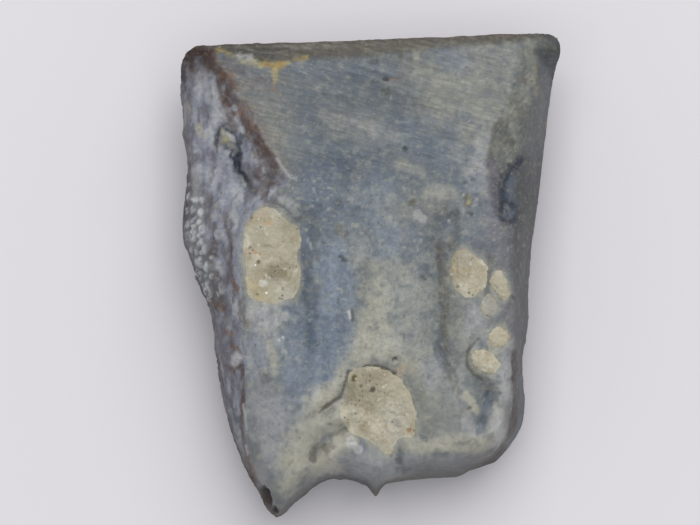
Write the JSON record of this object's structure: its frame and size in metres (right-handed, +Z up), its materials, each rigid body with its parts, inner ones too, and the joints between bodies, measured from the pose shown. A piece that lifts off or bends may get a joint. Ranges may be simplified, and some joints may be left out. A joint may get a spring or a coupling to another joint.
{
  "type": "fossil tooth",
  "caption": "Worn dinosaur tooth crown in fossil form, wedge-shaped and grooved, with sandstone left in its hollows, lying on its back.",
  "frame": {"origin": "centre of the bounding box in plan, on the surface that the tooth rests on", "axes": "+Z up out of the dentine face, +Y along the crown towards its worn end, +X across it"},
  "size_m": [0.011, 0.014, 0.0059],
  "materials": {
    "fossil_tooth": "worn, blue-grey and brown, mineralised",
    "sandstone": "fine-grained, cream, rough"
  },
  "bodies": {
    "root": {"tooth": "fossil_tooth", "sandstone_left": "sandstone", "sandstone_right": "sandstone", "sandstone_base": "sandstone", "sandstone_crumb_1": "sandstone", "sandstone_crumb_2": "sandstone", "sandstone_crumb_3": "sandstone", "sandstone_crumb_4": "sandstone"}
  },
  "joints": []
}
